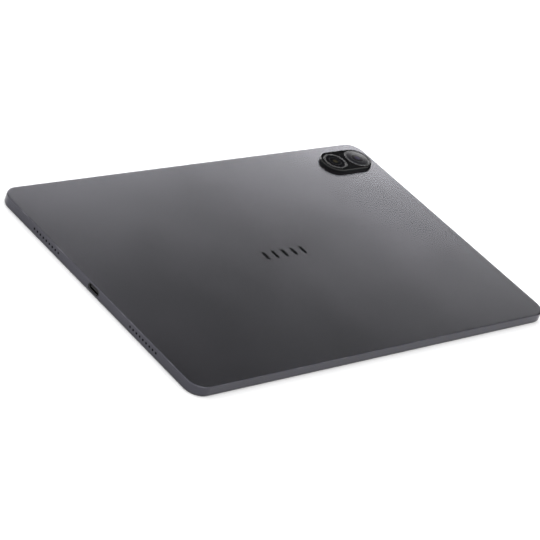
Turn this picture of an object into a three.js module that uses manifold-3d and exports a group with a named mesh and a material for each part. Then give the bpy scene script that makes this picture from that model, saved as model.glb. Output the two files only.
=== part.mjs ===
// Tablet computer lying on its screen. Millimetres, +Z up out of the back.
// +X runs along the long side away from the charging port, +Y points to the side
// with the keys and the rear camera. The origin is under the middle of the glass.
import * as THREE from "three";
import { mergeVertices } from "three/addons/utils/BufferGeometryUtils.js";
import Module from "manifold-3d";

const wasm = await Module();
wasm.setup();

// ---- driving dimensions ----
const LENGTH = 277.1;
const DEPTH = 179.3;
const BODY_TOP = 6.3; // the back face
const CORNER = 9.6;
const WALL_FOOT = 0.9; // lower edge of the metal wall
const WALL = 1.6;
const BACK_SKIN = 0.8;
const BACK_EDGE_ROUND = 0.7;
const FOOT_CHAMFER = 0.25;
const SMOOTH = 6; // curve segments of a large corner, twice this many facets
const PLAIN = 3;

const HALF_X = LENGTH / 2;
const HALF_Y = DEPTH / 2;
const CEILING = BODY_TOP - BACK_SKIN; // inner face of the back
const INNER_X = HALF_X - WALL;
const INNER_Y = HALF_Y - WALL;

const HOLE_Z = 3.55; // height of everything along the short walls
const SPEAKER_Y = 44;
const SPEAKER_HOLES = 9;
const HOLE_PITCH = 2.82;
const HOLE_DIAMETER = 1.25;
const HOLE_FACETS = 12;

const PORT_WIDTH = 8.94;
const PORT_HEIGHT = 3.16;
const PORT_SKIN = 0.28;
const PORT_DEPTH = 6.9;
const PORT_GAP = 0.3;

const KEY_Z = 3.6;
const KEY_HEIGHT = 2.2;
const KEY_PROUD = 0.35;
const KEY_GAP = 0.3;
const POWER_X = 104;
const POWER_LENGTH = 14;
const VOLUME_X = 72;
const VOLUME_LENGTH = 24;
const SWITCH_OFFSET = 8; // from the rocker's middle to each of its switches

const FLASH_X = 105.0;
const LENS_X = 124.4;
const CAMERA_Y = 71.9;
const BUMP_HALF = 9.8;
const BUMP_TOP = 8.1;
const BUMP_CHAMFER = 0.5;
const BUMP_PLUG_HALF = 7.3;
const WINDOW_SEAT = 7.5; // floor of the two round recesses
const FLASH_RING = 7.7;
const LENS_RING = 8.6;

const BOARD_BOTTOM = 3.6;
const BOARD_TOP = 4.4;
const FIT = 0.05; // stacked flat faces
const CLEAR = 0.3; // pieces that move or pass through one another

// ---- finishes: colour, roughness, metalness ----
const ALUMINIUM = [0x5d5c62, 0.42, 0.9];
const BLACK_GLASS = [0x08080a, 0.08, 0.0];
const BLACK_PLASTIC = [0x141416, 0.5, 0.0];
const GREY_METAL = [0x3a3b3f, 0.35, 0.8];
const STEEL = [0xb9bbbd, 0.3, 0.95];
const BOARD_GREEN = [0x12402c, 0.55, 0.1];
const CHIP_BLACK = [0x1c1c1e, 0.4, 0.0];
const CELL_WRAP = [0x2b2d31, 0.45, 0.2];
const FLEX_AMBER = [0x8a5a1c, 0.45, 0.1];
const GRAPHITE = [0x2a2a2c, 0.7, 0.3];
const MAGNET = [0x8d8f92, 0.35, 0.9];
const PANEL = [0x0d1016, 0.2, 0.0];
const REFLECTOR = [0xc9cbcd, 0.4, 0.6];
const DIFFUSER = [0xf2e9c8, 0.4, 0.0];

const tablet = new THREE.Group();

function addPiece(name, geometry, finish) {
  const [color, roughness, metalness] = finish;
  const material = new THREE.MeshStandardMaterial({ color, roughness, metalness });
  const mesh = new THREE.Mesh(geometry, material);
  mesh.name = name;
  tablet.add(mesh);
}

// ---- solids ----
function toSolid(geometry) {
  const bare = geometry.clone();
  bare.deleteAttribute("normal");
  bare.deleteAttribute("uv");
  const merged = mergeVertices(bare, 1e-4);
  const mesh = new wasm.Mesh({
    numProp: 3,
    vertProperties: merged.attributes.position.array,
    triVerts: new Uint32Array(merged.index.array),
  });
  return new wasm.Manifold(mesh);
}

function toGeometry(solid) {
  const mesh = solid.getMesh();
  const geometry = new THREE.BufferGeometry();
  geometry.setAttribute("position", new THREE.BufferAttribute(mesh.vertProperties, 3));
  geometry.setIndex(new THREE.BufferAttribute(mesh.triVerts, 1));
  geometry.computeVertexNormals();
  return geometry;
}

function combine(base, added, removed = []) {
  let solid = toSolid(base);
  for (const geometry of added) solid = solid.add(toSolid(geometry));
  for (const geometry of removed) solid = solid.subtract(toSolid(geometry));
  return toGeometry(solid);
}

// ---- outlines and simple bodies ----
function roundedRect(width, height, radius) {
  const x = width / 2 - radius;
  const y = height / 2 - radius;
  const quarter = Math.PI / 2;
  const outline = new THREE.Shape();
  outline.absarc(x, -y, radius, -quarter, 0);
  outline.absarc(x, y, radius, 0, quarter);
  outline.absarc(-x, y, radius, quarter, 2 * quarter);
  outline.absarc(-x, -y, radius, 2 * quarter, 3 * quarter);
  outline.closePath();
  return outline;
}

// The tablet's own outline, moved in from the outside of the wall.
function bodyOutline(inset) {
  return roundedRect(LENGTH - 2 * inset, DEPTH - 2 * inset, CORNER - inset);
}

function pill(width, height) {
  return roundedRect(width, height, height / 2);
}

function plate(outline, bottom, top, segments = PLAIN) {
  const options = { depth: top - bottom, bevelEnabled: false, curveSegments: segments };
  return new THREE.ExtrudeGeometry(outline, options).translate(0, 0, bottom);
}

// A plate whose two rims are rounded, inside the same outline and heights.
function softPlate(outline, bottom, top, round, steps, segments = PLAIN) {
  const options = {
    depth: top - bottom - 2 * round,
    bevelThickness: round,
    bevelSize: round,
    bevelOffset: -round,
    bevelSegments: steps,
    curveSegments: segments,
  };
  return new THREE.ExtrudeGeometry(outline, options).translate(0, 0, bottom + round);
}

function ringPlate(outer, inner, bottom, top, segments = PLAIN) {
  outer.holes.push(inner);
  return plate(outer, bottom, top, segments);
}

function block(xs, ys, zs) {
  const size = [xs, ys, zs].map(([low, high]) => high - low);
  const middle = [xs, ys, zs].map(([low, high]) => (low + high) / 2);
  return new THREE.BoxGeometry(...size).translate(...middle);
}

function disc(radius, x, y, bottom, top, facets) {
  const body = new THREE.CylinderGeometry(radius, radius, top - bottom, facets);
  return body.rotateX(Math.PI / 2).translate(x, y, (bottom + top) / 2);
}

// Turns a plate drawn in X and Y so that it stands in a short wall, drawn in Y and Z.
function intoShortWall(geometry) {
  return geometry.rotateX(Math.PI / 2).rotateZ(Math.PI / 2);
}

// Turns a plate drawn in X and Y so that it stands in a long wall; its top faces -Y.
function intoLongWall(geometry) {
  return geometry.rotateX(Math.PI / 2);
}

const around = (middle, width) => [middle - width / 2, middle + width / 2];

// ---- rear housing: one milled aluminium tray with its openings ----
const SCREW_BORE = 0.85;
const SCREW_SHANK = 0.6;
const BOSS = 1.7;
const BOSS_FACETS = 12;
const BOARD_SCREWS = [
  ["board_screw_1", 91.5, -58],
  ["board_screw_2", 115, -58],
  ["board_screw_3", 97, 56.5],
  ["board_screw_4", 115, 56.5],
];
const PORT_SCREWS = [
  ["port_screw_1", -133.7, -7.6],
  ["port_screw_2", -133.7, 7.6],
];
const BRACKET_TOP = 1.87;
const OUTSIDE = 3; // how far a cutting body reaches past the skin
const CAMERA_MIDDLE = (FLASH_X + LENS_X) / 2;
const CAMERA_SPAN = LENS_X - FLASH_X;

function speakerHoles(side) {
  const holes = [];
  const start = side * (INNER_X - OUTSIDE);
  const end = side * (HALF_X + OUTSIDE);
  for (const groupY of [-SPEAKER_Y, SPEAKER_Y]) {
    for (let i = 0; i < SPEAKER_HOLES; i++) {
      const y = groupY + (i - (SPEAKER_HOLES - 1) / 2) * HOLE_PITCH;
      const drill = new THREE.CylinderGeometry(
        HOLE_DIAMETER / 2,
        HOLE_DIAMETER / 2,
        Math.abs(end - start),
        HOLE_FACETS,
      );
      holes.push(drill.rotateZ(Math.PI / 2).translate((start + end) / 2, y, HOLE_Z));
    }
  }
  return holes;
}

function keySlot(x, length) {
  const slot = pill(length + 2 * KEY_GAP, KEY_HEIGHT + 2 * KEY_GAP);
  const cutter = intoLongWall(plate(slot, 0, WALL + 2 * OUTSIDE));
  return cutter.translate(x, HALF_Y + OUTSIDE, KEY_Z);
}

function portSlot() {
  const slot = pill(PORT_WIDTH + 2 * PORT_GAP, PORT_HEIGHT + 2 * PORT_GAP);
  const cutter = intoShortWall(plate(slot, 0, WALL + 2 * OUTSIDE));
  return cutter.translate(-HALF_X - OUTSIDE, 0, HOLE_Z);
}

const MICROPHONE_X = -14;
const MICROPHONE_HOLE = 0.5; // radius
function microphoneHole() {
  const depth = WALL + 2 * OUTSIDE;
  const drill = new THREE.CylinderGeometry(MICROPHONE_HOLE, MICROPHONE_HOLE, depth, HOLE_FACETS);
  return drill.translate(MICROPHONE_X, HALF_Y - WALL / 2, HOLE_Z);
}

function housing() {
  const rounded = softPlate(bodyOutline(0), -OUTSIDE, BODY_TOP, BACK_EDGE_ROUND, 4, SMOOTH);
  const chamfered = softPlate(
    bodyOutline(0),
    WALL_FOOT,
    BODY_TOP + OUTSIDE,
    FOOT_CHAMFER,
    1,
    SMOOTH,
  );
  let solid = toSolid(rounded).intersect(toSolid(chamfered));
  const remove = (geometry) => {
    solid = solid.subtract(toSolid(geometry));
  };
  remove(plate(bodyOutline(WALL), WALL_FOOT - OUTSIDE, CEILING, SMOOTH));
  for (const [, x, y] of BOARD_SCREWS) {
    solid = solid.add(toSolid(disc(BOSS, x, y, BOARD_TOP + FIT, CEILING + FIT, BOSS_FACETS)));
  }
  for (const [, x, y] of PORT_SCREWS) {
    solid = solid.add(toSolid(disc(BOSS, x, y, BRACKET_TOP + FIT, CEILING + FIT, BOSS_FACETS)));
  }
  for (const [, x, y] of [...BOARD_SCREWS, ...PORT_SCREWS]) {
    remove(disc(SCREW_BORE, x, y, 0, CEILING - 0.1, BOSS_FACETS));
  }
  for (const side of [-1, 1]) speakerHoles(side).forEach(remove);
  remove(keySlot(POWER_X, POWER_LENGTH));
  remove(keySlot(VOLUME_X, VOLUME_LENGTH));
  remove(portSlot());
  remove(microphoneHole());
  const opening = pill(CAMERA_SPAN + 2 * (BUMP_PLUG_HALF + CLEAR), 2 * (BUMP_PLUG_HALF + CLEAR));
  remove(plate(opening, CEILING - 1, BODY_TOP + 1, SMOOTH).translate(CAMERA_MIDDLE, CAMERA_Y, 0));
  return toGeometry(solid);
}
addPiece("rear_housing", housing(), ALUMINIUM);

// ---- front: cover glass, plastic frame, display cell and backlight ----
const GLASS_INSET = 1.45;
const GLASS_THICKNESS = 0.6;
const FRAME_FOOT = 0.2;
const FRAME_TOP = WALL_FOOT - FIT;
const GLASS_ROUND = 0.18;
const FRAME_OUTSIDE = 0.5; // insets of the frame's edges from the outside of the wall
const LIP_INSIDE = GLASS_INSET - 0.1;
const LEDGE_INSIDE = 2.9;
const TONGUE_OUTSIDE = WALL + CLEAR;
const TONGUE_INSIDE = 2.6;
const TONGUE_TOP = 1.7;
addPiece(
  "cover_glass",
  softPlate(bodyOutline(GLASS_INSET), 0, GLASS_THICKNESS, GLASS_ROUND, 2, SMOOTH),
  BLACK_GLASS,
);

function displayFrame() {
  const ring = (outside, inside, bottom, top) =>
    ringPlate(bodyOutline(outside), bodyOutline(inside), bottom, top, SMOOTH);
  const lip = ring(FRAME_OUTSIDE, LIP_INSIDE, FRAME_FOOT, FRAME_TOP);
  const ledge = ring(FRAME_OUTSIDE, LEDGE_INSIDE, GLASS_THICKNESS + FIT, FRAME_TOP);
  const tongue = ring(TONGUE_OUTSIDE, TONGUE_INSIDE, FRAME_TOP - 0.1, TONGUE_TOP);
  return combine(lip, [ledge, tongue]);
}
addPiece("display_frame", displayFrame(), BLACK_PLASTIC);

const PANEL_LENGTH = 261.4;
const PANEL_DEPTH = 163.4;
const TRAY_MARGIN = 0.3; // the backlight tray reaches this far past the display cell
const CELL_HEIGHTS = [GLASS_THICKNESS + FIT, 1.35];
const BACKLIGHT_HEIGHTS = [1.4, 2.2];
addPiece(
  "display_cell",
  block(around(0, PANEL_LENGTH), around(0, PANEL_DEPTH), CELL_HEIGHTS),
  PANEL,
);
addPiece(
  "backlight_unit",
  block(
    around(0, PANEL_LENGTH + 2 * TRAY_MARGIN),
    around(0, PANEL_DEPTH + 2 * TRAY_MARGIN),
    BACKLIGHT_HEIGHTS,
  ),
  REFLECTOR,
);

// ---- rear camera block ----
const WINDOW_FOOT = WINDOW_SEAT + FIT;
const RING_TOP = 8.15;
const RING_GAP = 0.1;
const LENS_BORE = 4.4;
const FLASH_BORE = 2.2;
const ROUND_FACETS = 36;

function cameraBump() {
  const outline = pill(CAMERA_SPAN + 2 * BUMP_HALF, 2 * BUMP_HALF);
  const crown = softPlate(outline, BODY_TOP - 1, BUMP_TOP, BUMP_CHAMFER, 2, SMOOTH);
  const beyond = CAMERA_SPAN + 4 * BUMP_HALF;
  const below = block(around(0, beyond), around(0, beyond), [0, BODY_TOP + FIT]);
  const plugOutline = pill(CAMERA_SPAN + 2 * BUMP_PLUG_HALF, 2 * BUMP_PLUG_HALF);
  const plug = plate(plugOutline, CEILING - CLEAR, BODY_TOP + 1, SMOOTH);
  let solid = toSolid(crown).subtract(toSolid(below)).add(toSolid(plug));
  const half = CAMERA_SPAN / 2;
  const seats = [
    disc(FLASH_RING + RING_GAP, -half, 0, WINDOW_SEAT, BUMP_TOP + 1, ROUND_FACETS),
    disc(LENS_RING + RING_GAP, half, 0, WINDOW_SEAT, BUMP_TOP + 1, ROUND_FACETS),
    disc(FLASH_BORE, -half, 0, 0, BUMP_TOP, BOSS_FACETS),
    disc(LENS_BORE, half, 0, 0, BUMP_TOP, BOSS_FACETS * 2),
  ];
  for (const seat of seats) solid = solid.subtract(toSolid(seat));
  return toGeometry(solid).translate(CAMERA_MIDDLE, CAMERA_Y, 0);
}
addPiece("camera_bump", cameraBump(), BLACK_GLASS);

// A ring or window turned about its own upright axis from [radius, height] points.
function turned(points, x) {
  const profile = points.map(([radius, height]) => new THREE.Vector2(radius, height));
  return new THREE.LatheGeometry(profile, ROUND_FACETS)
    .rotateX(Math.PI / 2)
    .translate(x, CAMERA_Y, 0);
}

function lensRing(outer, inner, x) {
  const bevel = 0.12;
  const points = [
    [inner, WINDOW_FOOT],
    [outer, WINDOW_FOOT],
    [outer, RING_TOP - bevel],
    [outer - bevel, RING_TOP],
    [inner + bevel, RING_TOP],
    [inner, RING_TOP - bevel],
    [inner, WINDOW_FOOT],
  ];
  return turned(points, x);
}

const FLASH_WINDOW = 6.35;
const LENS_WINDOW = 7.5;
const DOME_TOP = 8.3;
const DOME_RIM = 8.05;
addPiece("flash_ring", lensRing(FLASH_RING, FLASH_WINDOW + RING_GAP, FLASH_X), GREY_METAL);
addPiece("lens_ring", lensRing(LENS_RING, LENS_WINDOW + RING_GAP, LENS_X), GREY_METAL);
addPiece(
  "flash_window",
  disc(FLASH_WINDOW, FLASH_X, CAMERA_Y, WINDOW_FOOT, BUMP_TOP, ROUND_FACETS),
  BLACK_GLASS,
);

function domedWindow() {
  const steps = 5;
  const points = [
    [0, WINDOW_FOOT],
    [LENS_WINDOW, WINDOW_FOOT],
  ];
  for (let i = 0; i <= steps; i++) {
    const across = 1 - i / steps;
    points.push([LENS_WINDOW * across, DOME_TOP - (DOME_TOP - DOME_RIM) * across * across]);
  }
  return turned(points, LENS_X);
}
addPiece("lens_window", domedWindow(), BLACK_GLASS);

const MODULE_WIDTH = 12.5;
const MODULE_HEIGHTS = [2.6, 5.1];
const COIL_BORE = 4.3;
const COIL_FLOOR = 3.4;
function cameraModule() {
  const body = block(around(LENS_X, MODULE_WIDTH), around(CAMERA_Y, MODULE_WIDTH), MODULE_HEIGHTS);
  const bore = disc(COIL_BORE, LENS_X, CAMERA_Y, COIL_FLOOR, BODY_TOP, BOSS_FACETS * 2);
  return combine(body, [], [bore]);
}
addPiece("camera_module", cameraModule(), CHIP_BLACK);

const BARREL_RADIUS = COIL_BORE - 0.4;
const BARREL_FOOT = COIL_FLOOR + 0.4;
const BARREL_TOP = WINDOW_FOOT - 2 * CLEAR; // leaves room for the focus travel
function lensBarrel() {
  const points = [
    [0, BARREL_FOOT],
    [BARREL_RADIUS, BARREL_FOOT],
    [BARREL_RADIUS, BARREL_TOP - 0.6],
    [BARREL_RADIUS - 0.7, BARREL_TOP],
    [BARREL_RADIUS - 1.7, BARREL_TOP],
    [0, BARREL_TOP - 0.3],
  ];
  return turned(points, LENS_X);
}
addPiece("lens_barrel", lensBarrel(), CHIP_BLACK);

const LED_RADIUS = 1.7;
const LED_FOOT = CEILING - 0.1;
const LED_TOP = WINDOW_FOOT - CLEAR;
addPiece(
  "flash_led",
  disc(LED_RADIUS, FLASH_X, CAMERA_Y, LED_FOOT, LED_TOP, BOSS_FACETS),
  DIFFUSER,
);

// ---- keys in the long wall, their switches and flexible circuit ----
const FLANGE_FRONT = INNER_Y - 0.4; // the key's travel, and a little more
const FLANGE_BACK = FLANGE_FRONT - 0.65;
const FLANGE_REACH = 0.9;
const FLANGE_HEIGHT = 2.8;
const NUB_BACK = FLANGE_BACK - 0.4;
const NUB_WIDTH = 2;
const NUB_HEIGHT = 1;
const SWITCH_FRONT = NUB_BACK - CLEAR;
const SWITCH_BACK = SWITCH_FRONT - 0.9;
const SWITCH_LENGTH = 4;
const SWITCH_HEIGHT = 2;
const KEY_FACE = HALF_Y + KEY_PROUD;
const KEY_ROUND = 0.2;

function key(x, length, nubs) {
  const depth = KEY_FACE - FLANGE_FRONT + KEY_ROUND;
  const cap = softPlate(pill(length, KEY_HEIGHT), 0, depth, KEY_ROUND, 2);
  const flange = block(
    around(x, length + 2 * FLANGE_REACH),
    [FLANGE_BACK, FLANGE_FRONT],
    around(KEY_Z, FLANGE_HEIGHT),
  );
  const feet = nubs.map((nubX) =>
    block(around(nubX, NUB_WIDTH), [NUB_BACK, FLANGE_BACK + 0.1], around(KEY_Z, NUB_HEIGHT)),
  );
  return combine(intoLongWall(cap).translate(x, KEY_FACE, KEY_Z), [flange, ...feet]);
}
const volumeNubs = [VOLUME_X - SWITCH_OFFSET, VOLUME_X + SWITCH_OFFSET];
addPiece("power_key", key(POWER_X, POWER_LENGTH, [POWER_X]), ALUMINIUM);
addPiece("volume_rocker", key(VOLUME_X, VOLUME_LENGTH, volumeNubs), ALUMINIUM);

const SWITCHES = [
  ["power_switch", POWER_X],
  ["volume_down_switch", volumeNubs[0]],
  ["volume_up_switch", volumeNubs[1]],
];
for (const [name, x] of SWITCHES) {
  const box = block(
    around(x, SWITCH_LENGTH),
    [SWITCH_BACK, SWITCH_FRONT],
    around(KEY_Z, SWITCH_HEIGHT),
  );
  addPiece(name, box, STEEL);
}
const KEY_FLEX_ENDS = [58, 110];
const KEY_FLEX_FACES = [SWITCH_BACK - FIT - 0.2, SWITCH_BACK - FIT];
addPiece(
  "key_flex",
  block(KEY_FLEX_ENDS, KEY_FLEX_FACES, around(KEY_Z, SWITCH_HEIGHT)),
  FLEX_AMBER,
);

// ---- charging port ----
function portShell() {
  const skin = ringPlate(
    pill(PORT_WIDTH, PORT_HEIGHT),
    pill(PORT_WIDTH - 2 * PORT_SKIN, PORT_HEIGHT - 2 * PORT_SKIN),
    0,
    PORT_DEPTH,
  );
  return intoShortWall(skin).translate(PORT_FRONT, 0, HOLE_Z);
}
const PORT_FRONT = -HALF_X + 0.2;
const PORT_BACK = PORT_FRONT + PORT_DEPTH;
const BASE_LENGTH = 1.7;
const BLADE_WIDTH = 6.7;
const BLADE_HEIGHT = 0.7;
const BLADE_SETBACK = 0.6;
addPiece("usb_c_shell", portShell(), STEEL);

function portTongue() {
  const gap = 2 * (PORT_SKIN + 0.1);
  const base = plate(pill(PORT_WIDTH - gap, PORT_HEIGHT - gap), 0, BASE_LENGTH);
  const blade = block(
    [PORT_FRONT + BLADE_SETBACK, PORT_BACK - BASE_LENGTH + 0.2],
    around(0, BLADE_WIDTH),
    around(HOLE_Z, BLADE_HEIGHT),
  );
  const seated = intoShortWall(base).translate(PORT_BACK - BASE_LENGTH, 0, HOLE_Z);
  return combine(seated, [blade]);
}
addPiece("usb_c_tongue", portTongue(), BLACK_PLASTIC);

function withHoles(geometry, places, bottom, top) {
  const drills = places.map(([, x, y]) => disc(SCREW_BORE, x, y, bottom, top, BOSS_FACETS));
  return combine(geometry, [], drills);
}
const BRACKET_ENDS = [-135.6, -131.6];
const BRACKET_LENGTH = 20;
const BRACKET_BOTTOM = 1.6;
const bracket = block(BRACKET_ENDS, around(0, BRACKET_LENGTH), [BRACKET_BOTTOM, BRACKET_TOP]);
addPiece("port_bracket", withHoles(bracket, PORT_SCREWS, 0, BODY_TOP), STEEL);

// A screw with its head toward the screen.
const SCREW_HEAD = 1.3;
const HEAD_HEIGHT = 0.5;
const PORT_SCREW_TIP = 4.8;
const BOARD_SCREW_TIP = 5.2;
function addScrew(name, x, y, seat, tip) {
  const head = disc(SCREW_HEAD, x, y, seat - HEAD_HEIGHT, seat, BOSS_FACETS);
  const shank = disc(SCREW_SHANK, x, y, seat - 0.1, tip, BOSS_FACETS);
  addPiece(name, combine(head, [shank]), STEEL);
}
for (const [name, x, y] of PORT_SCREWS) {
  addScrew(name, x, y, BRACKET_BOTTOM - FIT, PORT_SCREW_TIP);
}
for (const [name, x, y] of BOARD_SCREWS) {
  addScrew(name, x, y, BOARD_BOTTOM - FIT, BOARD_SCREW_TIP);
}

// ---- circuit boards, chips and shields ----
const BOARD_HEIGHTS = [BOARD_BOTTOM, BOARD_TOP];
const MAIN_BOARD = [[88, 118], [-62, 60]]; // in X and in Y
const PORT_BOARD = [[-131, -107], [-19, 19]];
const BATTERY_BOARD = [[-32, 32], [66, 74]];
const mainBoard = block(...MAIN_BOARD, BOARD_HEIGHTS);
addPiece("main_board", withHoles(mainBoard, BOARD_SCREWS, 0, BODY_TOP), BOARD_GREEN);
addPiece("port_board", block(...PORT_BOARD, BOARD_HEIGHTS), BOARD_GREEN);
addPiece("battery_board", block(...BATTERY_BOARD, BOARD_HEIGHTS), BOARD_GREEN);

const CHIP_FOOT = BOARD_TOP + FIT;
const CHIP_TOP = 5.1;
const SHIELD_TOP = 5.33;
const SHIELD_SKIN = 0.15;
const CHIPS = [
  ["processor_chip", 103, 14, 15],
  ["memory_chip", 103, 34, 13],
  ["power_chip", 103, -16, 10],
  ["storage_chip", 103, -35, 12],
];
for (const [name, x, y, size] of CHIPS) {
  addPiece(name, block(around(x, size), around(y, size), [CHIP_FOOT, CHIP_TOP]), CHIP_BLACK);
}

function shieldCan(xs, ys) {
  const inside = ([low, high]) => [low + SHIELD_SKIN, high - SHIELD_SKIN];
  const hollow = block(inside(xs), inside(ys), [CHIP_FOOT - 1, SHIELD_TOP - SHIELD_SKIN]);
  return combine(block(xs, ys, [CHIP_FOOT, SHIELD_TOP]), [], [hollow]);
}
const SHIELD_ENDS = [91, 115];
addPiece("upper_shield", shieldCan(SHIELD_ENDS, [2, 46]), STEEL);
addPiece("lower_shield", shieldCan(SHIELD_ENDS, [-46, -6]), STEEL);

const SPREADER = [[89, 117], [-50, 50], [SHIELD_TOP + FIT, CEILING - FIT]];
addPiece("heat_spreader", block(...SPREADER), GRAPHITE);

// ---- speakers behind the short walls, with a dust mesh over each row of holes ----
const SPEAKERS = [
  ["left_lower", -1, -1],
  ["left_upper", -1, 1],
  ["right_lower", 1, -1],
  ["right_upper", 1, 1],
];
const CHAMBER_HEIGHTS = [2.5, 5.3]; // between the backlight and the back
const CHAMBER_CORNER = 2;
const BOX_Y = 42.5;
const BOX_LENGTH = 42;
const BOX_EDGE = 0.4;
const MESH_FRONT = INNER_X - 0.2;
const MESH_BACK = MESH_FRONT - 0.55;
const MESH_LENGTH = 27;
const MESH_HEIGHT = 2.4;
const SPEAKER_FRONT = MESH_BACK - 2 * FIT;
const SPEAKER_DEPTH = 13.6;
for (const [place, side, upper] of SPEAKERS) {
  const outline = roundedRect(SPEAKER_DEPTH, BOX_LENGTH, CHAMBER_CORNER);
  const box = softPlate(outline, ...CHAMBER_HEIGHTS, BOX_EDGE, 1);
  const middleX = side * (SPEAKER_FRONT - SPEAKER_DEPTH / 2);
  addPiece("speaker_" + place, box.translate(middleX, upper * BOX_Y, 0), BLACK_PLASTIC);
  const dustMesh = block(
    around((side * (MESH_BACK + MESH_FRONT)) / 2, MESH_FRONT - MESH_BACK),
    around(upper * SPEAKER_Y, MESH_LENGTH),
    around(HOLE_Z, MESH_HEIGHT),
  );
  addPiece("dust_mesh_" + place, dustMesh, GRAPHITE);
}

// ---- battery: two pouch cells ----
const POUCH_WIDTH = 93;
const POUCH_LENGTH = 128;
const POUCH_EDGE = 0.5;
const POUCHES = [
  ["battery_cell_left", -57.5],
  ["battery_cell_right", 39.5],
];
for (const [name, x] of POUCHES) {
  const outline = roundedRect(POUCH_WIDTH, POUCH_LENGTH, CHAMBER_CORNER);
  const pouch = softPlate(outline, ...CHAMBER_HEIGHTS, POUCH_EDGE, 1);
  addPiece(name, pouch.translate(x, 0, 0), CELL_WRAP);
}

// ---- flexible circuits: flat strips with square turns ----
const FLEX = 0.15; // thickness
const BOARD_FLEX = BOARD_BOTTOM - 0.25; // just under the boards, toward the screen
const PANEL_FLEX = 3.1;
const CAMERA_FLEX = 2.3;
function addFlex(name, bottom, points) {
  const outline = new THREE.Shape(points.map(([x, y]) => new THREE.Vector2(x, y)));
  addPiece(name, plate(outline, bottom, bottom + FLEX), FLEX_AMBER);
}
addFlex("battery_flex", BOARD_FLEX, [
  [20, 67], [88, 67], [88, 50], [93, 50], [93, 71], [20, 71],
]);
addFlex("port_flex", BOARD_FLEX, [
  [-114, -12], [-114, -70], [106, -70], [106, -50],
  [101, -50], [101, -66], [-109, -66], [-109, -12],
]);
addFlex("display_flex", PANEL_FLEX, [
  [52, -78], [112, -78], [112, -52], [107.5, -52], [107.5, -73], [52, -73],
]);
addFlex("camera_flex", CAMERA_FLEX, [
  [109, 50], [114, 50], [114, 70], [128, 70], [128, 75], [109, 75],
]);
const DRIVER_BOARD = [[-70, 70], [-80.5, -71], [2.3, 3.0]];
addPiece("display_driver_board", block(...DRIVER_BOARD), BOARD_GREEN);

// ---- small parts round the rim ----
const RIM_FACES = [INNER_Y - 5, INNER_Y - 1.25]; // in Y, just inside the long wall
const FRONT_LENS_Y = 84.4;
const FRONT_LENS_RADIUS = 1.6;
const FRONT_CAMERA_WIDTH = 5.2;
const FRONT_CAMERA_HEIGHTS = [2.0, 4.6];
function frontCamera() {
  const lensFoot = GLASS_THICKNESS + FIT;
  const lensTop = FRONT_CAMERA_HEIGHTS[0] + 0.3;
  const lens = disc(FRONT_LENS_RADIUS, 0, FRONT_LENS_Y, lensFoot, lensTop, BOSS_FACETS);
  return combine(lens, [block(around(0, FRONT_CAMERA_WIDTH), RIM_FACES, FRONT_CAMERA_HEIGHTS)]);
}
addPiece("front_camera", frontCamera(), CHIP_BLACK);

const MICROPHONE_FACES = [INNER_Y - 3.15, INNER_Y - 0.45];
addPiece(
  "microphone",
  block(around(MICROPHONE_X, 3.8), MICROPHONE_FACES, around(HOLE_Z, 1.4)),
  STEEL,
);

const ANTENNA_HEIGHTS = [3.0, 5.0];
addPiece("antenna_left", block([-76, -30], RIM_FACES, ANTENNA_HEIGHTS), FLEX_AMBER);
addPiece("antenna_right", block([14, 54], RIM_FACES, ANTENNA_HEIGHTS), FLEX_AMBER);

const MAGNET_X = 67;
const MAGNET_LENGTH = 50;
const MAGNET_FACES = [-INNER_Y + 1.45, -INNER_Y + 4.45];
const MAGNET_HEIGHTS = [2.6, 5.2];
for (const [place, x] of [["left", -MAGNET_X], ["right", MAGNET_X]]) {
  const bar = block(around(x, MAGNET_LENGTH), MAGNET_FACES, MAGNET_HEIGHTS);
  addPiece("cover_magnet_" + place, bar, MAGNET);
}

export default tablet;
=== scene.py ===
import math

import bmesh
import bpy
from mathutils import Matrix, Vector


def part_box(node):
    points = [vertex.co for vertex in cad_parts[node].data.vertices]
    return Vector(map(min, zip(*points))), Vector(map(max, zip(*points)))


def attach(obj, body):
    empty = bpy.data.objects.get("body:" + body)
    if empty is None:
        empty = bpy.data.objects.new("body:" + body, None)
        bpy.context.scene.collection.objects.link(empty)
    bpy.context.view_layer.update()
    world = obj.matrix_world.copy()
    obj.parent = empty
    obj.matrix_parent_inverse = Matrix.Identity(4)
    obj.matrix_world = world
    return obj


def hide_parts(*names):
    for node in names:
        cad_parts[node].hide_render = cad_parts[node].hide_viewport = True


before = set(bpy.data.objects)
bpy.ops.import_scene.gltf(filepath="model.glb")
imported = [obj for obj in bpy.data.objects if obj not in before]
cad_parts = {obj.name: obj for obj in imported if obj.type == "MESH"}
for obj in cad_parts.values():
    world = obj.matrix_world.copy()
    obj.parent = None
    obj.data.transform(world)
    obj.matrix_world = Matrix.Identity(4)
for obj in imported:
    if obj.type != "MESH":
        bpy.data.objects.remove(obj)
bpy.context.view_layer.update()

# ---------------------------------------------------------------- view and light
# The tablet lies on its screen on a pale table. A long lens looks down over the
# corner between the charging port and the plain long side, and leans to one side.
VIEW_AZIMUTH = math.radians(-52.13)
VIEW_ELEVATION = math.radians(29.75)
VIEW_LEAN = math.radians(22.44)
VIEW_DISTANCE = 1.274
VIEW_SLIDE_RIGHT = 0.00608
VIEW_SLIDE_UP = 0.00472
LENS_LENGTH = 150.5


def aim_direction(azimuth, elevation):
    """Unit vector from the object toward a camera or a lamp."""
    level = math.cos(elevation)
    return Vector((math.sin(azimuth) * level, -math.cos(azimuth) * level, math.sin(elevation)))


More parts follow.
